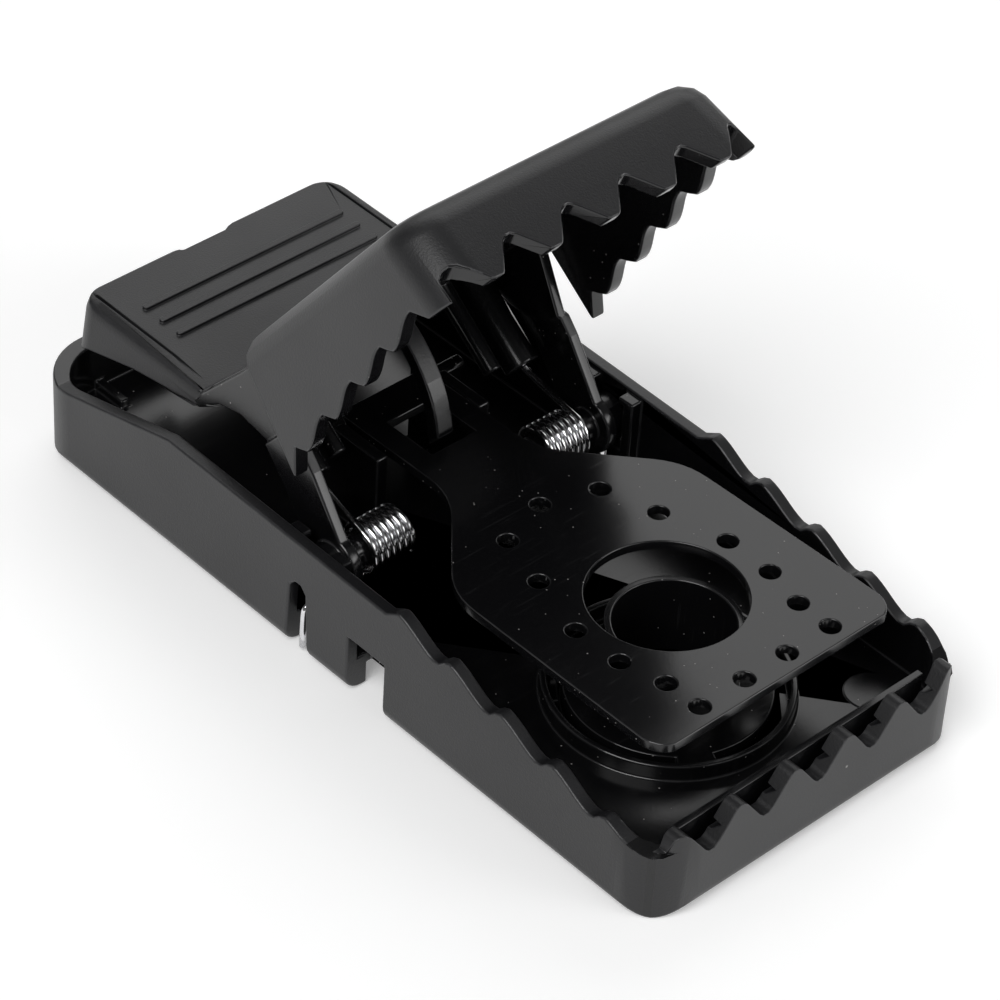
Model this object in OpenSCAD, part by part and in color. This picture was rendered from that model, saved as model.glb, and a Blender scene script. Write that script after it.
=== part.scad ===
// Snap mouse trap in its set position: a toothed tray, a toothed jaw that is one
// moulding with its press pad, a perforated trip pedal, a twist-out bait cup and
// two torsion springs. Millimetres, +Z up, the tray's front towards -Y.
// The origin is the middle of the tray's footprint, on the ground.

/* [Tray] */
// Length of the tray, front to rear
tray_l = 102; // [98:1:108]
// Width of the tray
tray_w = 47; // [46:0.5:50]
// Thickness of the side walls
wall = 1.6; // [1.4:0.1:1.8]
// Top of the tray's floor above the ground
floor_top = 4.2; // [4:0.1:4.4]
// Height of the front teeth above the ground
front_teeth_z = 11.3; // [10.5:0.1:12]

/* [Teeth] */
// Distance from one tooth to the next
pitch = 7.8; // [7.6:0.05:7.9]
// Depth of the rounded teeth on the tray's sides
tray_tooth_h = 1.55; // [1:0.05:1.8]
// Depth of the rounded teeth on the jaw's sides
jaw_tooth_h = 1.55; // [1:0.05:1.8]
// Depth of the pointed teeth across both fronts
front_tooth_h = 3.7; // [3:0.1:3.9]

/* [Jaw] */
// Angle that the jaw is held open, from closed
open_angle = 68.3; // [66:0.1:69]
// Thickness of the jaw's skirt
skirt_t = 2; // [1.6:0.1:2.2]
// Thickness of the jaw's top and of the press pad
shell_t = 1.6; // [1.4:0.1:1.8]
// Width of the catch arm
arm_w = 2.4; // [2:0.1:3]

/* [Pedal] */
// Thickness of the pedal's plate
pedal_t = 1.2; // [1:0.1:1.3]
// Half the width of the pedal's plate
pedal_half_w = 17; // [16:0.25:17]
// Diameter of the small holes in the pedal
pinhole_d = 2.3; // [2:0.1:2.6]
// Diameter of the hole over the bait cup
bait_hole_d = 17.4; // [17:0.1:18]

/* [Springs] */
// Diameter of the spring wire
wire_d = 0.8; // [0.7:0.05:0.8]
// Middle diameter of the coil
coil_d = 5.5; // [5.3:0.05:5.6]
// Whole turns in each coil, before the last part turn
coil_turns = 6; // [5:1:6]

/* [Hidden] */
$fn = 48;
black = [0.06, 0.06, 0.065];
gloss_black = [0.04, 0.04, 0.045];
steel = [0.75, 0.76, 0.78];
big = 80;

// Tray
half_l = tray_l / 2;
half_w = tray_w / 2;
rear_r = 8;
front_r = 6.5;
front_wall = 2;
rear_wall = 2.2;
foot_t = 3;
bottom_r = 2.2;
floor_under = floor_top - 1.4;
rear_rim_z = 10.5;
shoulder_z = 15.8;
side_slope = 0.178;
first_tooth_y = -12;
side_teeth = 5;
first_valley_z = 15.3;
front_trough_z = 9.4;
rib_y = -47.9;
rib_top = 9.9;

// Jaw, drawn closed about its pivot and then swung open
pivot_y = 3;
pivot_z = 11;
nose_u = 51.3;
nose_top_v = 10.3;
heel_u = 15.2;
heel_v = 20.9;
heel_low_u = 9.7;
heel_low_v = 6.9;
slope_angle = atan((heel_v - nose_top_v) / (nose_u - heel_u));
first_tip_u = 14.7;
tip_line_v = 6.95;
tip_slope = 0.155;
side_tips = 4;
jaw_top_half_w = 21.4;
jaw_draft = 0.085;
jaw_edge_r = 2.6;
jaw_corner_r = 5;
jaw_l = norm([nose_u - heel_u, heel_v - nose_top_v]);
gusset_in = 17.5;
gusset_out = 18.8;
leg_in = 17.9;
leg_out = 19.3;
hub_r = 3.6;
stub_r = 2.7;
stub_out = 21.5;
spool_r = 2;
spool_in = 9.4;
tube_x = 15.2;
post_x = 11.3;

// Press pad, drawn in the set position
pad_top = 20;
pad_front_y = 26;
pad_front_z = 19.6;
pad_crease_y = 32.5;
pad_half_w = 18.2;

// Catch arm: an arc that ends just above the pedal's slot
arm_r = 15.1;
arm_t = 1.8;
arm_y = 21.67;
arm_z = 14.25;
arm_tip_r = 6.42;

// Pedal and its pin
pin_y = 16.8;
pin_z = 14.6;
pin_r = 1;
pin_half_l = 11.2;
pin_gap = 0.05;
pedal_rise = 1;
pedal_top = 1.35;
neck_half_w = 6.2;
pedal_front_y = -44.6;
slot_half_w = 3.2;
slot_front_y = 5.4;
slot_rear_y = 12.6;
bait_y = -27.6;

// Bait cup and its seat
cup_y = -29;
cup_in_r = 6.6;
cup_out_r = 7.4;
cup_top = 14;
seat_r = 11.6;
ring_in_r = 12.9;
ring_out_r = 13.7;
ring_top = 6.2;
lug_r = 12.6;
lug_angle = 20;
lug_turn = 40;

// Springs
coil_x = 15.6;
coil_pitch = 0.86;
tail_y = 3.7;
tail_z = 6.4;
tail_x = 22.6;
leg_angle = 105.7;
last_angle = 225;
wire_sides = 8;
turn_steps = 20;

// Points along an arc in a plane
function arc(cx, cy, r, a0, a1, n = 12) =
    [for (i = [0:n]) [cx + r * cos(a0 + (a1 - a0) * i / n), cy + r * sin(a0 + (a1 - a0) * i / n)]];

// One lopsided wave: 1 at a tip (t = 0 and 1) and 0 at the valley (t = s)
function wave(t, s) = t < s ? 0.5 + 0.5 * cos(180 * t / s) : 0.5 - 0.5 * cos(180 * (t - s) / (1 - s));

// Rounded outline of the tray, drawn in by d, with end walls of their own thickness
function tray_outline(d, front_d, rear_d) = concat(
    arc(half_w - rear_r, half_l - rear_r - rear_d + d, rear_r - d, 0, 90),
    arc(-half_w + rear_r, half_l - rear_r - rear_d + d, rear_r - d, 90, 180),
    arc(-half_w + front_r, -half_l + front_r + front_d - d, front_r - d, 180, 270),
    arc(half_w - front_r, -half_l + front_r + front_d - d, front_r - d, 270, 360));

// Extrudes a (y, z) outline along X, centred, w wide
module across(w) {
    rotate([90, 0, 90]) linear_extrude(w, center = true) children();
}

// Extrudes an (x, z) outline from y0 to y1
module along(y0, y1) {
    translate([0, y1, 0]) rotate([90, 0, 0]) linear_extrude(y1 - y0) children();
}

// Repeats a right-hand feature on the left
module both_sides() {
    children();
    mirror([1, 0, 0]) children();
}

module rod_x(x0, x1, y, z, r) {
    translate([x0, y, z]) rotate([0, 90, 0]) cylinder(r = r, h = x1 - x0);
}

// ---- tray ----

// Height of the scalloped rim at y, going forwards from the first tooth
function rim_base(y) = first_valley_z + side_slope * (y - first_tooth_y - 0.22 * pitch);
function rim_z(y, t) = rim_base(y) + tray_tooth_h * wave(t, 0.74);

rim_line = concat(
    [[half_l + 1, rear_rim_z], [half_l - 5.5, rear_rim_z], [25.5, shoulder_z]],
    [[first_tooth_y + 0.26 * pitch, first_valley_z]],
    [for (k = [0:side_teeth - 1], i = [0:9])
        let (t = i / 10, y = first_tooth_y - pitch * (k + t)) [y, rim_z(y, t)]],
    [[-half_l + 2.4, front_trough_z]]);

module above_side_rim() {
    across(big) polygon(concat(rim_line, [[-half_l + 2.4, 30], [half_l + 1, 30]]));
}

// Zigzag of the pointed front teeth; tips at odd halves of the pitch
function zigzag(tip_z, h, lo, hi) = [for (k = [lo:hi], s = [[-0.9, 0.45], [-0.35, 0], [0.35, 0], [0.9, 0.45]])
    [k * pitch / 2 + s[0], (k % 2 == 0) ? tip_z - h + s[1] : tip_z - s[1]]];

module above_front_teeth() {
    along(-half_l - 1, -half_l + 2.41) polygon(concat(
        [[-big, 30], [-big, front_trough_z], [-2.68 * pitch, front_trough_z]],
        zigzag(front_teeth_z, front_tooth_h, -5, 5),
        [[2.68 * pitch, front_trough_z], [big, front_trough_z], [big, 30]]));
}

// Upright outline with round lower corners
function round_bottom(half) = concat([[-half, 20]], arc(-half + bottom_r, bottom_r, bottom_r, 180, 270, 6),
    arc(half - bottom_r, bottom_r, bottom_r, 270, 360, 6), [[half, 20]]);

module tray_shell() {
    difference() {
        intersection() {
            linear_extrude(18) polygon(tray_outline(0, 0, 0));
            along(-half_l - 1, half_l + 1) polygon(round_bottom(half_w));
            across(tray_w + 2) polygon(round_bottom(half_l));
        }
        translate([0, 0, floor_top]) linear_extrude(20) polygon(tray_outline(wall, front_wall, rear_wall));
        translate([0, 0, -1]) linear_extrude(floor_under + 1) polygon(tray_outline(foot_t, foot_t, foot_t));
        above_side_rim();
        above_front_teeth();
    }
}

// Wall openings: a tapered slot for the spring tail and a square notch
module wall_openings() {
    slot = [[2.1, -1], [5.7, -1], [5.1, 9.1], [4.2, 9.9], [3.3, 9.9], [2.6, 9.1]];
    both_sides() {
        translate([half_w, 0, 0]) across(2 * foot_t + 1.2) polygon(slot);
        translate([half_w - foot_t - 0.6, -10.1, -1]) cube([foot_t + 2, 5.7, 9]);
    }
}

// Guides on the inner walls that the jaw's stubs turn in
module stub_guides() {
    gap = stub_r + 0.2;
    guide_x = 20.4;
    deep = half_w - wall - guide_x + 0.3;
    both_sides() {
        for (s = [-1, 1]) {
            translate([guide_x, pivot_y + s * (gap + 0.75) - 0.75, floor_top - 0.5]) cube([deep, 1.5, 11.3]);
            translate([guide_x, pivot_y + s * (gap - 0.35) - 0.45, 14.1]) cube([deep, 0.9, 0.9]);
        }
        translate([guide_x, pivot_y - gap - 0.1, floor_top - 0.5]) cube([deep, 2.1, 4.2]);
    }
}

// Two ribs beside the pedal's neck, open at the top so the pin snaps in
module pedal_bearings() {
    both_sides() difference() {
        translate([6.6, 8.6, floor_top - 0.5]) cube([1.6, 11.4, 12]);
        rod_x(6, 9, pin_y, pin_z, pin_r + pin_gap);
        translate([6, pin_y - 0.7, pin_z]) cube([3, 1.4, 3]);
    }
}

module base_tray() {
    color(black) difference() {
        union() {
            tray_shell();
            stub_guides();
            pedal_bearings();
            translate([-18, rib_y - 0.4, floor_top - 0.5]) cube([36, 0.8, rib_top - floor_top + 0.5]);
            translate([0, cup_y, floor_top - 0.5]) cylinder(r = ring_out_r, h = ring_top - floor_top + 0.5);
            translate([16.6, -42.9, floor_top - 0.5]) cylinder(r = 2.9, h = 0.65);
            both_sides() translate([14, 44, floor_top - 0.5]) cube([1.2, 5.8, 1.5]);
        }
        translate([0, cup_y, floor_top]) cylinder(r = ring_in_r, h = 5);
        translate([0, cup_y, 0]) cylinder(r = seat_r, h = 8);
        for (k = [0:2]) translate([0, cup_y, 0]) rotate([0, 0, 120 * k + lug_turn - lug_angle / 2 - 2])
            rotate_extrude(angle = lug_angle + 4) square([ring_in_r - 0.1, 5]);
        wall_openings();
    }
}

// ---- jaw ----

// Swings a closed-frame shape, drawn about the pivot, into the set position
module set_open() {
    translate([0, pivot_y, pivot_z]) rotate([-open_angle, 0, 0]) children();
}

// Thin slab, front edge straight and rear corners round, for the hulls of the jaw's blocks
module slab(z, half, front, rear, r) {
    translate([0, 0, z]) linear_extrude(0.01) polygon(concat([[-half, front], [half, front]],
        arc(half - r, rear - r, r, 0, 90, 9), arc(-half + r, rear - r, r, 90, 180, 9)));
}

// Slab at a depth below the jaw's sloped top, drawn in by d at the sides and the nose
module jaw_slab(drop, d, r) {
    half = jaw_top_half_w + jaw_draft * (drop - jaw_edge_r);
    translate([0, -heel_u, heel_v]) rotate([-slope_angle, 0, 180])
        slab(-drop, half - d, -6, jaw_l + drop * tan(slope_angle) - d, r);
}

// The jaw's block: drafted sides, round corners and a top edge rounded by r
module jaw_block(d, d_top, r) {
    hull() {
        for (s = [[0.005, 1], [0.13, 0.5], [0.5, 0.13], [1, 0]])
            jaw_slab(d_top + s[0] * r, d + s[1] * r, jaw_corner_r - 0.6 * d - 0.9 * s[1] * r);
        jaw_slab(16, d, jaw_corner_r - 0.6 * d);
    }
}

// Arc of radius r that rounds the corner b between a and c
function round_corner(a, b, c, r, n = 6) =
    let (p = (a - b) / norm(a - b), q = (c - b) / norm(c - b), half = acos(p * q) / 2,
        m = (p + q) / norm(p + q), o = b + m * r / sin(half), s = b + p * r / tan(half) - o,
        turn = (cross(s, b + q * r / tan(half) - o) > 0 ? 1 : -1) * (180 - 2 * half))
    [for (i = [0:n]) let (a = turn * i / n) o + [s[0] * cos(a) - s[1] * sin(a), s[0] * sin(a) + s[1] * cos(a)]];

function tip_v(u) = tip_line_v - tip_slope * (u - first_tip_u);

heel_low = [-heel_low_u, heel_low_v];
heel_top = [-heel_u, heel_v];
nose_top = [-nose_u, nose_top_v];
jaw_side = concat(
    round_corner(nose_top, heel_top + [0, 0.15], heel_low, jaw_edge_r),
    [heel_low],
    [for (k = [0:side_tips - 1], i = [(k == 0 ? 8 : 0):9])
        let (t = i / 10, u = first_tip_u + pitch * (k - 1 + t))
        [-u, tip_v(u) + jaw_tooth_h * (1 - wave(t, 0.78))]],
    [for (i = [0:8])
        let (t = i / 10, u = first_tip_u + pitch * (side_tips - 1 + t))
        [-u, tip_v(u) + jaw_tooth_h * (1 - wave(t, 0.78))]],
    [[-nose_u + 5, 1.5], [-nose_u - 1, -0.1], [-nose_u - 1, nose_top_v + 2]]);

module jaw_shell() {
    difference() {
        intersection() {
            jaw_block(0, 0, jaw_edge_r);
            across(big) polygon(jaw_side);
        }
        jaw_block(skirt_t, shell_t, jaw_edge_r - shell_t);
        along(-nose_u - 2, -nose_u + skirt_t + 3) polygon(concat(
            [[-2.66 * pitch, -5], [-2.66 * pitch, 0.2]],
            zigzag(front_tooth_h, front_tooth_h, -5, 5),
            [[2.66 * pitch, 0.2], [2.66 * pitch, -5]]));
    }
}

// The web that closes the back of the jaw and carries the press pad
web = [[13.2, 35.8], [15.6, 31.6], [19.4, 26.9], [26, pad_front_z], [27, 19.6], [27, 18.4], [25.2, 18.4],
    [18.1, 25.7], [13.9, 30.9], [11.9, 34.3]];
// Side gussets and the legs down to the pivot
gusset = [[10.6, 27.5], [13.3, 32.9], [15.2, 31.3], [19.2, 26.6], [26, 19.4], [26.5, 17.7], [24.6, 18.6], [22.6, 20.1],
    [19, 20.9], [14.5, 20.1], [11, 20.6], [8.2, 22.8]];
leg = [[-0.55, 10.6], [6.6, 21], [8.2, 22.8], [12, 23], [14.5, 20.1], [11.6, 17], [6.55, 10.4]];

module jaw_legs() {
    both_sides() {
        translate([(gusset_in + gusset_out) / 2, 0, 0]) across(gusset_out - gusset_in) polygon(gusset);
        translate([(leg_in + leg_out) / 2, 0, 0]) across(leg_out - leg_in) polygon(leg);
        rod_x(leg_in, leg_out, pivot_y, pivot_z, hub_r);
        rod_x(leg_out - 0.1, stub_out, pivot_y, pivot_z, stub_r);
        rod_x(spool_in, leg_in + 0.1, pivot_y, pivot_z, spool_r);
    }
}

// Outline of the pad's side: its lower edge drops towards the rear
pad_side = [[pad_front_y - 0.6, pad_front_z], [pad_crease_y, pad_top], [51, 21.1],
    [51, 10.7], [44.8, 14.2], [37, 16.1], [26.5, 17.7], [25.4, 18.4]];

// The slot in the pad's rear edge
pad_notch = [[-5.2, 51], [-4.9, 47.8], [-4.2, 46.6], [2, 46.6], [4.3, 47.8], [4.8, 51]];

module press_pad() {
    difference() {
        intersection() {
            hull() {
                slab(pad_top - 0.01, 17.3, 20, 46.9, 2.2);
                slab(pad_top - 0.4, 18.3, 20, 47.5, 2.9);
                slab(pad_top - 1.4, 18.75, 20, 47.7, 3.2);
                slab(10, 19.9, 20, 48.35, 4);
            }
            across(big) polygon(pad_side);
        }
        hull() {
            slab(pad_top - shell_t, 16.6, 25.4, 45.5, 2);
            slab(9, 18.7, 25.4, 46.8, 3);
        }
        translate([0, 0, 8]) linear_extrude(14) polygon(pad_notch);
        both_sides() translate([16.8, 24, pad_top - 0.3]) cube([0.3, 30, 1]);
    }
    for (y = [34.9, 37.85, 40.8]) translate([0, y, pad_top - 0.5]) linear_extrude(0.85)
        polygon(concat(arc(14.1, 0, 0.4, -90, 90, 6), arc(-14.1, 0, 0.4, 90, 270, 6)));
}

module catch_arm() {
    difference() {
        translate([-arm_w / 2, arm_y, arm_z]) rotate([90, 0, 90]) linear_extrude(arm_w)
            polygon(concat(arc(0, 0, arm_r, 178, 107, 16), arc(0, 0, arm_r - arm_t, 107, 178, 16)));
        rod_x(-5, 5, pivot_y, pivot_z, arm_tip_r);
    }
}

// Drop tubes for the spring legs, and slim posts beside them
module drop_rod(x, u, v, r, l) {
    translate([x, -u, v]) rotate([14.7, 0, 0]) cylinder(r = r, h = l);
}

module jaw_tubes() {
    both_sides() difference() {
        union() {
            drop_rod(tube_x, 1.4, 9, 2.1, 13.1);
            drop_rod(post_x, 1.9, 9.9, 1.05, 12.1);
        }
        drop_rod(tube_x, 1.15, 8, 0.95, 9);
    }
}

module upper_jaw() {
    color(black) {
        set_open() {
            jaw_shell();
            jaw_tubes();
        }
        across(2 * pad_half_w) polygon(web);
        jaw_legs();
        press_pad();
        catch_arm();
    }
}

// ---- pedal ----

// Half outline of the plate, from the front middle round to the neck's rear end
function pedal_half(w, a = 41.8, r1 = 9, r2 = 9, y1 = -16.5) =
    let (tx = w - r1 * (1 - cos(a)), ty = y1 + r1 * sin(a),
        sx = neck_half_w + r2 * (1 - cos(a)), t = (tx - sx) / sin(a), y2 = ty + t * cos(a) + r2 * sin(a))
    concat(arc(w - 3, pedal_front_y + 3.2, 3.2, 292, 356, 4),
        arc(w - r1, y1, r1, 0, a, 6),
        arc(neck_half_w + r2, y2, r2, 180 + a, 180, 6),
        [[neck_half_w, pin_y + 0.6]]);

function flip(points) = [for (i = [len(points) - 1:-1:0]) [-points[i][0], points[i][1]]];

pinholes = [[6.7, -10.5], [8.7, -17.4], [11.05, -25.5], [10.9, -31.9], [9.6, -37.3], [9.5, -42], [3.1, -42]];

// Raises the flat plate towards the front about the pin
module pedal_tilted() {
    translate([0, pin_y, pin_z]) rotate([-pedal_rise, 0, 0]) translate([0, -pin_y, 0]) children();
}

module trip_pedal() {
    right = pedal_half(pedal_half_w);
    color(gloss_black) {
        pedal_tilted() difference() {
            translate([0, 0, pedal_top - pedal_t]) linear_extrude(pedal_t) polygon(concat(right, flip(right)));
            translate([0, bait_y, -3]) cylinder(d = bait_hole_d, h = 8);
            translate([0, -8.3, -3]) cylinder(d = pinhole_d, h = 8);
            both_sides() for (p = pinholes) translate([p[0], p[1], -3]) cylinder(d = pinhole_d, h = 8);
            translate([-slot_half_w, slot_front_y, -3]) cube([2 * slot_half_w, slot_rear_y - slot_front_y, 8]);
        }
        rod_x(-pin_half_l, pin_half_l, pin_y, pin_z, pin_r);
    }
}

// ---- bait cup ----

module bait_cup() {
    color(gloss_black) translate([0, cup_y, 0]) {
        difference() {
            union() {
                cylinder(r = cup_out_r, h = cup_top);
                translate([0, 0, floor_under - 1.4]) cylinder(r = 13.4, h = 1.2);
                translate([0, 0, floor_under - 0.3]) cylinder(r = seat_r - 0.3, h = 2.9);
            }
            translate([0, 0, 2.6]) cylinder(r = cup_in_r, h = 20);
            translate([0, 0, -1]) difference() {
                cylinder(r = 12.4, h = 2.4);
                translate([-14, -1.2, -1]) cube([28, 2.4, 5]);
            }
        }
        for (k = [0:2]) rotate([0, 0, 120 * k - lug_angle / 2]) translate([0, 0, floor_top + 0.25])
            rotate_extrude(angle = lug_angle) translate([seat_r - 1.5, 0]) square([lug_r - seat_r + 1.5, 0.95]);
    }
}

// ---- springs ----

coil_r = coil_d / 2;
whole = last_angle - leg_angle + 360 * coil_turns;
coil_steps = round(whole / 360 * turn_steps);
coil_end_x = coil_x - coil_pitch * whole / 360;

function on_coil(x, a) = [x, pivot_y + coil_r * cos(a), pivot_z + coil_r * sin(a)];

// Route of the right-hand wire: jaw leg, coil, then the tail out to the wall
tube_mouth = [tube_x, pivot_y + 7.6, pivot_z + 4.9];
leg_way = [0, 0.806, 0.592];
wire_route = concat(
    [tube_mouth + 4.5 * leg_way, tube_mouth - 0.4 * leg_way],
    [for (i = [0:coil_steps]) on_coil(coil_x - coil_pitch * whole / 360 * i / coil_steps,
        leg_angle + whole * i / coil_steps)],
    [[coil_end_x, 2.2, 7.9], [coil_end_x + 0.1, 3, 7], [coil_end_x + 0.7, 3.5, 6.55]],
    [[coil_end_x + 1.6, tail_y, tail_z]],
    [[tail_x - 1.2, tail_y, tail_z], [tail_x - 0.35, tail_y, tail_z - 0.35], [tail_x, tail_y, tail_z - 1.2]],
    [[tail_x, tail_y, 0.7]]);

function unit(v) = v / norm(v);
function tangent(p, i) = unit(p[min(i + 1, len(p) - 1)] - p[max(i - 1, 0)]);
// Side direction of each ring: the one before, made square to the new tangent
function sides_of(p, i = 0, last = [1, 0, 0], out = []) = i == len(p) ? out :
    let (t = tangent(p, i), s = unit(last - (last * t) * t)) sides_of(p, i + 1, s, concat(out, [s]));

module sweep(p, r) {
    n = wire_sides;
    s = sides_of(p);
    rings = [for (i = [0:len(p) - 1], k = [0:n - 1])
        let (t = tangent(p, i), b = cross(t, s[i]))
        p[i] + r * (cos(360 * k / n) * s[i] + sin(360 * k / n) * b)];
    walls = [for (i = [0:len(p) - 2], k = [0:n - 1])
        let (a = i * n + k, b = i * n + (k + 1) % n) [a, a + n, b + n, b]];
    polyhedron(points = rings, convexity = 10, faces = concat(walls,
        [[for (k = [0:n - 1]) k]], [[for (k = [n - 1:-1:0]) (len(p) - 1) * n + k]]));
}

module spring_right() {
    color(steel) sweep(wire_route, wire_d / 2);
}

module spring_left() {
    color(steel) mirror([1, 0, 0]) sweep(wire_route, wire_d / 2);
}

base_tray();
upper_jaw();
trip_pedal();
bait_cup();
spring_left();
spring_right();
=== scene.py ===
# %% [markdown]
# # A snap mouse trap, set and ready
# This trap is only four mouldings and two springs: a toothed tray, a toothed jaw that is one
# moulding with its press pad, a perforated trip pedal, a twist-out bait cup and two torsion
# springs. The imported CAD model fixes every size, place and joint, so this lesson only adds what CAD
# leaves out: soft moulded edges, round wire, grain, wear, dust and light.

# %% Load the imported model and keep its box
import math

import bmesh
import bpy
from mathutils import Matrix, Vector
from mathutils.bvhtree import BVHTree


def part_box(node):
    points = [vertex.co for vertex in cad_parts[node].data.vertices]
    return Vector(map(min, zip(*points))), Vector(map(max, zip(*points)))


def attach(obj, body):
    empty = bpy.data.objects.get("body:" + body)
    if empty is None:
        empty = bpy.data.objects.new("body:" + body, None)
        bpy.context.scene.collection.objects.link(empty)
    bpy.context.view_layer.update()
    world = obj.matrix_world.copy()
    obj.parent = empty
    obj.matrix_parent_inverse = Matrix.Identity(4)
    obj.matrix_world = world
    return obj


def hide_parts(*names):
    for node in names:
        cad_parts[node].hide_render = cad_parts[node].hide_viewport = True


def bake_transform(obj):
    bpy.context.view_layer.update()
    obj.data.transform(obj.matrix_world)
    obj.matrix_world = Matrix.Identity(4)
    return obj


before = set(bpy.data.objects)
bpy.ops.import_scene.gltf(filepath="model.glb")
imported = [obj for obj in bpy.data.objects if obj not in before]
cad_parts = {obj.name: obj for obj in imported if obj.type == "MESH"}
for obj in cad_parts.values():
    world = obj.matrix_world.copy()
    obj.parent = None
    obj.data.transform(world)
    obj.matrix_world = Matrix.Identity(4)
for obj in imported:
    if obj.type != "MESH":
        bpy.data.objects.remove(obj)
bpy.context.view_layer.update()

MM = 0.001
print("CAD nodes:", ", ".join(sorted(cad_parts)))

# %% [markdown]
# ## The camera
# A product picture of something this small is taken from above one front corner with a long lens,
# so that parallel edges stay nearly parallel. The camera is placed by azimuth, elevation, roll and
# distance around a target point near the middle of the trap, because those four numbers are easy to
# judge and to change one at a time.

# %% Camera
AZIMUTH = math.radians(-45)
ELEVATION = math.radians(40.17)
ROLL = math.radians(3.78)
CAMERA_DISTANCE = 444.19 * MM
TARGET = Vector((0.18, -2.0, 12.74)) * MM

level_right = Vector((math.cos(AZIMUTH), math.sin(AZIMUTH), 0))
back = Vector((math.sin(AZIMUTH) * math.cos(ELEVATION),
               -math.cos(AZIMUTH) * math.cos(ELEVATION),
               math.sin(ELEVATION)))
level_up = back.cross(level_right)
right = math.cos(ROLL) * level_right + math.sin(ROLL) * level_up
up = math.cos(ROLL) * level_up - math.sin(ROLL) * level_right

camera_data = bpy.data.cameras.new("camera")
camera_data.sensor_width = 36
camera_data.lens = 148.33
camera_data.clip_start = 0.01
camera = bpy.data.objects.new("camera", camera_data)
bpy.context.scene.collection.objects.link(camera)
camera_turn = Matrix((right, up, back)).transposed().to_4x4()
camera.matrix_world = Matrix.Translation(TARGET + CAMERA_DISTANCE * back) @ camera_turn
bpy.context.scene.camera = camera
print("camera at", [round(c, 4) for c in camera.location])

# %% [markdown]
# ## Floor and studio light
# Black plastic shows almost nothing but reflections, so the light is built as the things it should
# mirror. A large panel low behind the right side lies in the mirror direction of every level face
# and gives the pad and the pedal their grey sheen. The pale floor itself lights the upright walls.
# Nothing bright hangs straight above, so the raised bar of the jaw stays dark. The floor also glows a
# little of itself, which keeps its shadows faint.

# %% Floor
FLOOR_GLOW = 0.24


def principled(name):
    """A new material, its node tree and its Principled BSDF"""
    material = bpy.data.materials.new(name)
    material.use_nodes = True
    return material, material.node_tree, material.node_tree.nodes["Principled BSDF"]


def make_floor(half_size, drop):
    bm = bmesh.new()
    bmesh.ops.create_grid(bm, x_segments=1, y_segments=1, size=half_size)
    bmesh.ops.translate(bm, vec=(0, 0, -drop), verts=bm.verts)
    mesh = bpy.data.meshes.new("floor")
    bm.to_mesh(mesh)
    bm.free()
    material, _, shader = principled("pale_floor")
    shader.inputs["Base Color"].default_value = (0.94, 0.94, 0.94, 1)
    shader.inputs["Roughness"].default_value = 0.8
    shader.inputs["Emission Color"].default_value = (1, 1, 1, 1)
    shader.inputs["Emission Strength"].default_value = FLOOR_GLOW
    mesh.materials.append(material)
    floor = bpy.data.objects.new("floor", mesh)
    bpy.context.scene.collection.objects.link(floor)
    return floor


make_floor(half_size=4, drop=0.05 * MM)

# %% [markdown]
# ## Softboxes
# A studio softbox is a rectangle of even brightness, and an area light is the same thing. Its
# brightness is given as radiance, because that is what a glossy face shows when it mirrors the
# panel, whatever the panel's size. The last one is low in front of the right corner, where the
# curved catch arm mirrors it.

# %% Light panels and a faint glow all round
def panel(name, azimuth, elevation, distance, width, height, radiance):
    """A rectangular softbox that faces the trap, as bright as radiance"""
    a = math.radians(azimuth)
    e = math.radians(elevation)
    away = Vector((math.sin(a) * math.cos(e), -math.cos(a) * math.cos(e), math.sin(e)))
    light = bpy.data.lights.new(name, "AREA")
    light.shape = "RECTANGLE"
    light.size = width
    light.size_y = height
    light.energy = radiance * math.pi * width * height
    lamp = bpy.data.objects.new(name, light)
    facing = away.to_track_quat("Z", "Y").to_matrix().to_4x4()
    lamp.matrix_world = Matrix.Translation(away * distance) @ facing
    bpy.context.scene.collection.objects.link(lamp)
    return lamp


panel("rear_panel", azimuth=135, elevation=36, distance=1.2, width=1.5, height=0.75, radiance=1.5)
panel("key_panel", azimuth=-75, elevation=50, distance=1.3, width=0.8, height=0.8, radiance=5.4)
panel("front_panel", azimuth=15, elevation=30, distance=1.4, width=1.0, height=0.6, radiance=1.6)
panel("arm_panel", azimuth=33, elevation=17, distance=1.1, width=0.55, height=0.6, radiance=2.4)

world = bpy.data.worlds.new("studio")
bpy.context.scene.world = world
world.use_nodes = True
glow = world.node_tree.nodes["Background"]
glow.inputs["Color"].default_value = (1, 1, 1, 1)
glow.inputs["Strength"].default_value = 0.15

bpy.context.scene.view_settings.view_transform = "Standard"

# %% [markdown]
# ## Shared shader groups
# Four effects turn up in more than one finish, so each is a node group with named inputs: the fine
# grain of the mould, the polish that handling leaves on edges, hairline scratches, and dust. Each
# group gives only a mask or a height. The shader stays in the material that uses it.

# %% A small builder for node groups
def new_group(name, inputs, outputs):
    """A shader node group with float or vector sockets, its tree, and its two end nodes"""
    tree = bpy.data.node_groups.new(name, "ShaderNodeTree")
    for label, kind, value in inputs:
        socket = tree.interface.new_socket(label, in_out="INPUT", socket_type=kind)
        if value is not None:
            socket.default_value = value
    for label in outputs:
        tree.interface.new_socket(label, in_out="OUTPUT", socket_type="NodeSocketFloat")
    start = tree.nodes.new("NodeGroupInput")
    end = tree.nodes.new("NodeGroupOutput")
    return tree, start, end


FLOAT = "NodeSocketFloat"
VECTOR = "NodeSocketVector"


def feed(tree, socket, value):
    """Links an output to a socket, or sets the socket to a plain value"""
    if isinstance(value, bpy.types.NodeSocket):
        tree.links.new(value, socket)
    else:
        socket.default_value = value


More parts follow.
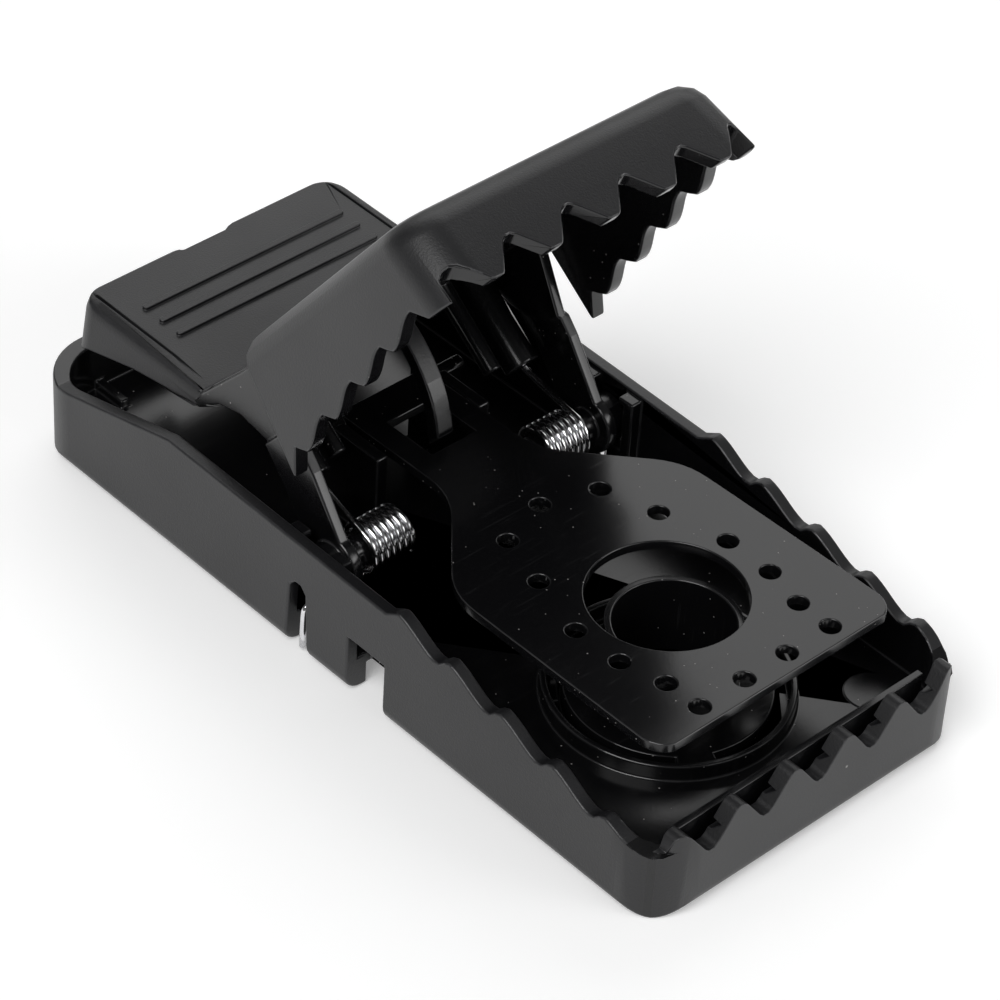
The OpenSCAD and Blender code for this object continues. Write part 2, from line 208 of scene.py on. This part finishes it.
def noise(tree, vector, scale, detail=2.0, roughness=0.5):
    node = tree.nodes.new("ShaderNodeTexNoise")
    tree.links.new(vector, node.inputs["Vector"])
    feed(tree, node.inputs["Scale"], scale)
    node.inputs["Detail"].default_value = detail
    node.inputs["Roughness"].default_value = roughness
    return node.outputs["Fac"]


def math_node(tree, operation, a, b=0.0, clamp=False):
    node = tree.nodes.new("ShaderNodeMath")
    node.operation = operation
    node.use_clamp = clamp
    feed(tree, node.inputs[0], a)
    feed(tree, node.inputs[1], b)
    return node.outputs[0]


def ramp(tree, value, low, high, out_low=0.0, out_high=1.0):
    """Maps low..high to out_low..out_high and clamps"""
    node = tree.nodes.new("ShaderNodeMapRange")
    for label, given in (("Value", value), ("From Min", low), ("From Max", high),
                         ("To Min", out_low), ("To Max", out_high)):
        feed(tree, node.inputs[label], given)
    return node.outputs["Result"]


def mapped(tree, vector, turn=(0, 0, 0), scale=(1, 1, 1)):
    node = tree.nodes.new("ShaderNodeMapping")
    tree.links.new(vector, node.inputs["Vector"])
    node.inputs["Rotation"].default_value = turn
    node.inputs["Scale"].default_value = scale
    return node.outputs["Vector"]


# %% [markdown]
# ### Mould grain
# An etched mould leaves a grain of a few tenths of a millimetre, and the way the plastic flowed into
# it leaves broad patches that are slightly shinier or duller. Two noises of very different size give
# one output each.

# %% Mould grain
def build_grain():
    tree, start, end = new_group(
        "mould_grain",
        [("Vector", VECTOR, None), ("Grains per Metre", FLOAT, 5000.0), ("Flow per Metre", FLOAT, 60.0)],
        ["Height", "Mottle"])
    fine = noise(tree, start.outputs["Vector"], start.outputs["Grains per Metre"], detail=3.0, roughness=0.6)
    flow = noise(tree, start.outputs["Vector"], start.outputs["Flow per Metre"], detail=2.0)
    tree.links.new(fine, end.inputs["Height"])
    tree.links.new(flow, end.inputs["Mottle"])
    return tree


# %% [markdown]
# ### Rubbed edges
# Hands polish the edges first, but never evenly. The edge mask comes from the mesh, and a patchy
# noise breaks it up.

# %% Rubbed edges
def build_rubbed():
    tree, start, end = new_group(
        "rubbed_edges",
        [("Vector", VECTOR, None), ("Edge", FLOAT, 0.0), ("Patches per Metre", FLOAT, 300.0)],
        ["Mask"])
    patches = noise(tree, start.outputs["Vector"], start.outputs["Patches per Metre"], detail=4.0)
    worn = ramp(tree, patches, 0.35, 0.65, 0.35, 1.0)
    mask = math_node(tree, "MULTIPLY", worn, start.outputs["Edge"], clamp=True)
    tree.links.new(mask, end.inputs["Mask"])
    return tree


# %% [markdown]
# ### Hairline scratches
# A noise that is squeezed across and stretched along becomes streaks. Only its peaks are kept, and
# four directions together look like scratches from handling.

# %% Hairline scratches
def build_scratches():
    tree, start, end = new_group("hairlines", [("Vector", VECTOR, None), ("Amount", FLOAT, 0.5)], ["Mask"])
    total = None
    directions = ((0.5, 110, 3000), (-0.9, 140, 3400), (1.35, 95, 2600), (0.1, 160, 3800))
    for turn, along, across in directions:
        stretched = mapped(tree, start.outputs["Vector"], turn=(0, 0, turn), scale=(along, across, along))
        line = ramp(tree, noise(tree, stretched, 1.0, detail=1.0), 0.71, 0.76)
        total = line if total is None else math_node(tree, "MAXIMUM", total, line)
    mask = math_node(tree, "MULTIPLY", total, start.outputs["Amount"], clamp=True)
    tree.links.new(mask, end.inputs["Mask"])
    return tree


# %% [markdown]
# ### Dust
# Black plastic shows every pale speck. Each cell of a Voronoi texture has a centre and a random
# colour, so the centres of a chosen share of the cells become the specks.

# %% Dust specks
def build_dust():
    tree, start, end = new_group(
        "dust",
        [("Vector", VECTOR, None), ("Cells per Metre", FLOAT, 900.0), ("Share", FLOAT, 0.1)],
        ["Mask"])
    cells = tree.nodes.new("ShaderNodeTexVoronoi")
    tree.links.new(start.outputs["Vector"], cells.inputs["Vector"])
    tree.links.new(start.outputs["Cells per Metre"], cells.inputs["Scale"])
    speck = ramp(tree, cells.outputs["Distance"], 0.10, 0.04)
    channels = tree.nodes.new("ShaderNodeSeparateColor")
    tree.links.new(cells.outputs["Color"], channels.inputs["Color"])
    chosen = math_node(tree, "LESS_THAN", channels.outputs["Red"], start.outputs["Share"])
    tree.links.new(math_node(tree, "MULTIPLY", speck, chosen), end.inputs["Mask"])
    return tree


GROUPS = {
    "grain": build_grain(),
    "rubbed": build_rubbed(),
    "scratches": build_scratches(),
    "dust": build_dust(),
}
print("shader groups:", sorted(GROUPS))

# %% [markdown]
# ## The finishes
# Three kinds of finish cover the whole trap. The outside of the tray and jaw is satin: the mould
# was lightly etched, so it scatters light through a fine grain. The inside faces, the pedal and the
# cup came off polished steel and are glossy, with scratches and dust. The springs are bright drawn
# wire. One function makes all the black plastics, since they differ only in amounts.

# %% Plastic
def group_node(tree, key, **values):
    node = tree.nodes.new("ShaderNodeGroup")
    node.node_tree = GROUPS[key]
    for label, value in values.items():
        feed(tree, node.inputs[label.replace("_", " ")], value)
    return node


def mix_colour(tree, factor, first, second):
    node = tree.nodes.new("ShaderNodeMix")
    node.data_type = "RGBA"
    colours = [s for s in node.inputs if s.type == "RGBA"]
    tree.links.new(factor, node.inputs["Factor"])
    feed(tree, colours[0], first)
    feed(tree, colours[1], second)
    return next(s for s in node.outputs if s.type == "RGBA")


DUST_COLOUR = (0.32, 0.31, 0.30, 1)


def plastic(name, colour, worn_colour, roughness, worn_roughness, grains, grain_depth,
            scratch_amount, dust_share, dust_cells):
    """Black moulded plastic: grain and mottle, polished edges, scratches and dust"""
    material, tree, shader = principled(name)
    place = tree.nodes.new("ShaderNodeTexCoord").outputs["Object"]
    edge = tree.nodes.new("ShaderNodeAttribute")
    edge.attribute_name = "rubbed"
    grain = group_node(tree, "grain", Vector=place, Grains_per_Metre=grains, Flow_per_Metre=55.0)
    rubbed = group_node(tree, "rubbed", Vector=place, Edge=edge.outputs["Fac"], Patches_per_Metre=260.0)
    lines = group_node(tree, "scratches", Vector=place, Amount=scratch_amount)
    dust = group_node(tree, "dust", Vector=place, Cells_per_Metre=dust_cells, Share=dust_share)

    tone = mix_colour(tree, rubbed.outputs["Mask"], colour, worn_colour)
    tone = mix_colour(tree, lines.outputs["Mask"], tone, worn_colour)
    tone = mix_colour(tree, dust.outputs["Mask"], tone, DUST_COLOUR)
    tree.links.new(tone, shader.inputs["Base Color"])

    rough = ramp(tree, grain.outputs["Mottle"], 0.3, 0.7, roughness - 0.035, roughness + 0.035)
    polished = ramp(tree, rubbed.outputs["Mask"], 0.0, 1.0, 0.0, roughness - worn_roughness)
    rough = math_node(tree, "SUBTRACT", rough, polished)
    marks = math_node(tree, "MULTIPLY", lines.outputs["Mask"], 0.25)
    rough = math_node(tree, "ADD", rough, marks)
    dusty = math_node(tree, "MULTIPLY", dust.outputs["Mask"], 0.85)
    rough = math_node(tree, "MAXIMUM", rough, dusty, clamp=True)
    tree.links.new(rough, shader.inputs["Roughness"])

    bump = tree.nodes.new("ShaderNodeBump")
    bump.inputs["Strength"].default_value = 1.0
    bump.inputs["Distance"].default_value = grain_depth
    height = math_node(tree, "SUBTRACT", grain.outputs["Height"], lines.outputs["Mask"])
    tree.links.new(height, bump.inputs["Height"])
    tree.links.new(bump.outputs["Normal"], shader.inputs["Normal"])
    shader.inputs["IOR"].default_value = 1.5
    return material


satin_black = plastic(
    "satin_black_plastic", colour=(0.008, 0.008, 0.009, 1), worn_colour=(0.03, 0.03, 0.032, 1),
    roughness=0.42, worn_roughness=0.3, grains=4200.0, grain_depth=0.03 * MM,
    scratch_amount=0.06, dust_share=0.03, dust_cells=500.0)
inner_black = plastic(
    "inner_gloss_plastic", colour=(0.004, 0.004, 0.0045, 1), worn_colour=(0.02, 0.02, 0.021, 1),
    roughness=0.2, worn_roughness=0.16, grains=2500.0, grain_depth=0.004 * MM,
    scratch_amount=0.15, dust_share=0.2, dust_cells=900.0)
gloss_black = plastic(
    "gloss_black_plastic", colour=(0.004, 0.004, 0.0045, 1), worn_colour=(0.024, 0.024, 0.025, 1),
    roughness=0.17, worn_roughness=0.13, grains=1800.0, grain_depth=0.003 * MM,
    scratch_amount=0.22, dust_share=0.26, dust_cells=1100.0)

# %% [markdown]
# ### Spring steel
# Drawn wire is smooth along its length, so it mirrors the room sharply. A fine noise moves the tone
# and the roughness a little, as the die marks do.

# %% Spring steel
def steel():
    material, tree, shader = principled("spring_steel")
    place = tree.nodes.new("ShaderNodeTexCoord").outputs["Object"]
    grain = group_node(tree, "grain", Vector=place, Grains_per_Metre=3000.0, Flow_per_Metre=700.0)
    tone = mix_colour(tree, grain.outputs["Mottle"], (0.62, 0.62, 0.63, 1), (0.9, 0.9, 0.92, 1))
    tree.links.new(tone, shader.inputs["Base Color"])
    tree.links.new(ramp(tree, grain.outputs["Height"], 0.3, 0.7, 0.08, 0.15), shader.inputs["Roughness"])
    shader.inputs["Metallic"].default_value = 1.0
    return material


spring_steel = steel()
print("finishes:", [m.name for m in (satin_black, inner_black, gloss_black, spring_steel)])

# %% [markdown]
# ## From a CAD node to a moulding
# A CAD node has knife edges. A moulding has a small radius on every one, which is where black
# plastic shows its highlights. The node's mesh is copied, its loose triangles are merged and
# dissolved back to whole faces, and its sharp edges are bevelled. Where edges crowd together a bevel
# can throw a vertex off the surface, so any that lands too far away is put back on it. The middle of
# each bevel is marked in an attribute named rubbed, so that the finish knows where hands polish it.

# %% Soft edges
MERGE = 0.002 * MM
STRAY = 0.9
FLAT_ANGLE = math.radians(0.6)
SHARP_ANGLE = math.radians(41)
SMOOTH_ANGLE = math.radians(42)


def link(name, mesh):
    piece = bpy.data.objects.new(name, mesh)
    bpy.context.scene.collection.objects.link(piece)
    return piece


def sharp_edges(bm):
    return [e for e in bm.edges if e.is_manifold and e.calc_face_angle(0) > SHARP_ANGLE]


def middle(item):
    """Middle of an edge or a face, in millimetres"""
    return sum((v.co for v in item.verts), Vector()) / len(item.verts) / MM


def bevel(bm, edges, width):
    made = bmesh.ops.bevel(bm, geom=edges, offset=width, offset_type="OFFSET", affect="EDGES", segments=3,
                           profile=0.5, material=-1, clamp_overlap=False, loop_slide=True)
    return set(made["faces"])


def moulding(name, node, radius, fine_radius, is_fine, is_inner, finishes):
    """A piece with the CAD node's shape, soft edges, and one finish outside and another inside"""
    bm = bmesh.new()
    bm.from_mesh(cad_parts[node].data)
    bmesh.ops.remove_doubles(bm, verts=bm.verts, dist=MERGE)
    bmesh.ops.dissolve_limit(bm, angle_limit=FLAT_ANGLE, verts=bm.verts, edges=bm.edges)
    for face in bm.faces:
        face.material_index = 1 if is_inner(middle(face), face.normal) else 0
    surface = BVHTree.FromBMesh(bm)
    fine = [e for e in sharp_edges(bm) if is_fine(middle(e))]
    rounded = bevel(bm, [e for e in sharp_edges(bm) if not is_fine(middle(e))], radius)
    if fine:
        rounded |= bevel(bm, [e for e in sharp_edges(bm) if is_fine(middle(e))], fine_radius)
    rounded = {f for f in rounded if f.is_valid}
    strays = 0
    for vertex in bm.verts:
        nearest, _, _, distance = surface.find_nearest(vertex.co)
        if distance > STRAY * radius:
            vertex.co = nearest
            strays += 1
    mask = bm.verts.layers.float.new("rubbed")
    for vertex in bm.verts:
        vertex[mask] = 1.0 if all(f in rounded for f in vertex.link_faces) else 0.0
    for face in bm.faces:
        face.smooth = True
    mesh = bpy.data.meshes.new(name)
    bm.to_mesh(mesh)
    bm.free()
    mesh.set_sharp_from_angle(angle=SMOOTH_ANGLE)
    for finish in finishes:
        mesh.materials.append(finish)
    piece = link(name, mesh)
    even = piece.modifiers.new("even_shading", "WEIGHTED_NORMAL")
    even.keep_sharp = True
    even.weight = 60
    print(f"{name}: {len(mesh.polygons)} faces, {len(fine)} fine edges, {strays} strays pulled back")
    return piece


def place(piece, body, node, slot):
    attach(piece, body)
    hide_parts(node)


# %% [markdown]
# ## The tray
# The tray is one open box. Its outside is satin, and everything inside the rim is glossy. The round
# mark on the floor is only 0.15 mm high, and the edges of the pointed front teeth are crowded, so the
# edges of both get a much smaller radius.

# %% Tray
TRAY_LOW, TRAY_HIGH = (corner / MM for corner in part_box("base_tray"))
INSIDE_X = TRAY_HIGH.x - 1.5
END_WALL = 2.1
MARK_MIDDLE = Vector((16.6, -42.9))
MARK_REACH = 3.4


def tray_inside(p, normal):
    return abs(p.x) < INSIDE_X and TRAY_LOW.y + END_WALL < p.y < TRAY_HIGH.y - END_WALL and p.z > 3


def tray_fine(p):
    on_mark = p.z < 4.6 and (Vector((p.x, p.y)) - MARK_MIDDLE).length < MARK_REACH
    front_teeth = p.y < -46.9 and 6.5 < p.z < 12
    return on_mark or front_teeth


two_finishes = [satin_black, inner_black]
tray = moulding("tray", "base_tray", 0.28 * MM, 0.09 * MM, tray_fine, tray_inside, two_finishes)
place(tray, "tray", "base_tray", "satin_black_plastic")

# %% [markdown]
# ## The jaw
# The jaw is a hollow channel with toothed skirts, and its web runs back into the press pad. The faces
# that point into the channel are glossy, and so are the legs, hubs, tubes and catch arm behind it. A
# face is inside when it looks towards the channel's middle line, which is simpler to say than to list
# the faces. The pad's ribs and groove are low, so their edges get the smaller radius.

# %% Jaw
OPEN_ANGLE = math.radians(68.3)
PIVOT = Vector((0, 3, 11))
to_closed = Matrix.Rotation(OPEN_ANGLE, 3, "X")


def jaw_inside(p, normal):
    """True for faces of the channel that point inwards, tested in the jaw's closed position"""
    q = to_closed @ (p - PIVOT)
    n = to_closed @ normal
    if q.y > -8:
        return p.y < 25 and (abs(p.x) > 9 or normal.y < 0.1)
    sideways = n.x * q.x < -0.5 and abs(q.x) < 21.5
    endways = n.y > 0.5 and q.y > -49.5 and abs(q.x) < 21
    return sideways or endways or n.z < -0.6


def jaw_fine(p):
    on_top = p.z > 19.5 and p.y > 26
    return on_top and abs(p.x) < 18


jaw = moulding("jaw", "upper_jaw", 0.3 * MM, 0.1 * MM, jaw_fine, jaw_inside, two_finishes)
place(jaw, "jaw", "upper_jaw", "satin_black_plastic")

# %% [markdown]
# ## The pedal and the bait cup
# Both are small glossy mouldings, and a single finish covers each of them.

# %% Pedal and cup
def nowhere(*_):
    return False


pedal = moulding("pedal", "trip_pedal", 0.16 * MM, 0.1 * MM, nowhere, nowhere, [gloss_black])
place(pedal, "pedal", "trip_pedal", "gloss_black_plastic")
cup = moulding("bait_cup_shell", "bait_cup", 0.18 * MM, 0.1 * MM, nowhere, nowhere, [gloss_black])
place(cup, "cup", "bait_cup", "gloss_black_plastic")

# %% [markdown]
# ## The springs
# Each spring is one length of round wire: a leg in the jaw's tube, six and a third turns around the
# jaw's spool, and a tail out through the tray's wall. When the jaw shuts, the leg turns with it and
# the tail stays, so the turns between share the twist. The wire is made in two pieces: the leg and
# coil as one, and the tail, which rides on the tray.

# %% Wire
WIRE_R = 0.4 * MM
COIL_R = 2.75
COIL_X = 15.6
TURN_PITCH = 0.86
LEG_ANGLE = 105.7
SWEEP = 225 - LEG_ANGLE + 6 * 360
STEPS_PER_TURN = 28


def coil_point(share):
    """A point of the right-hand coil, from its outer end at 0 to its inner end at 1"""
    a = math.radians(LEG_ANGLE + SWEEP * share)
    x = COIL_X - TURN_PITCH * SWEEP / 360 * share
    return Vector((x, PIVOT.y + COIL_R * math.cos(a), PIVOT.z + COIL_R * math.sin(a)))


def wire(name, points, side):
    """Round wire along points in millimetres, mirrored to the left when side is -1"""
    curve = bpy.data.curves.new(name, "CURVE")
    curve.dimensions = "3D"
    curve.bevel_depth = WIRE_R
    curve.bevel_resolution = 4
    curve.use_fill_caps = True
    spline = curve.splines.new("NURBS")
    spline.points.add(len(points) - 1)
    for target, p in zip(spline.points, points):
        target.co = (side * p[0] * MM, p[1] * MM, p[2] * MM, 1)
    spline.order_u = 3
    spline.use_endpoint_u = True
    spline.resolution_u = 3
    draft = link(name + "_draft", curve)
    mesh = bpy.data.meshes.new_from_object(draft)
    mesh.name = name
    bpy.data.objects.remove(draft)
    bm = bmesh.new()
    bm.from_mesh(mesh)
    bmesh.ops.remove_doubles(bm, verts=bm.verts, dist=0.001 * MM)
    bmesh.ops.recalc_face_normals(bm, faces=bm.faces)
    for face in bm.faces:
        face.smooth = len(face.verts) < 5
    bm.to_mesh(mesh)
    bm.free()
    mesh.materials.clear()
    mesh.materials.append(spring_steel)
    print(f"{name}: {len(mesh.polygons)} faces")
    return link(name, mesh)


# %% Legs, coils and tails
TUBE_MOUTH = Vector((15.2, 10.6, 15.9))
LEG_WAY = Vector((0, 0.806, 0.592))
coil_steps = round(SWEEP / 360 * STEPS_PER_TURN)
coil = [coil_point(i / coil_steps) for i in range(coil_steps + 1)]
leg = [TUBE_MOUTH + 4.5 * LEG_WAY, TUBE_MOUTH + 0.3 * LEG_WAY, TUBE_MOUTH - 0.6 * LEG_WAY]
end_x = coil[-1].x
tail = coil[-3:] + [
    (end_x, 2.2, 7.9), (end_x + 0.1, 3, 7), (end_x + 0.7, 3.5, 6.55), (end_x + 1.6, 3.7, 6.4),
    (21.4, 3.7, 6.4), (22.25, 3.7, 6.05), (22.6, 3.7, 5.2), (22.6, 3.7, 0.7)]

for side, word in ((1, "right"), (-1, "left")):
    turns = wire(f"spring_{word}_coil", leg + coil, side)
    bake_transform(turns)
    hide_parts(f"spring_{word}")
    hook = wire(f"spring_{word}_tail", tail, side)
    place(hook, "tray", f"spring_{word}", "spring_steel")
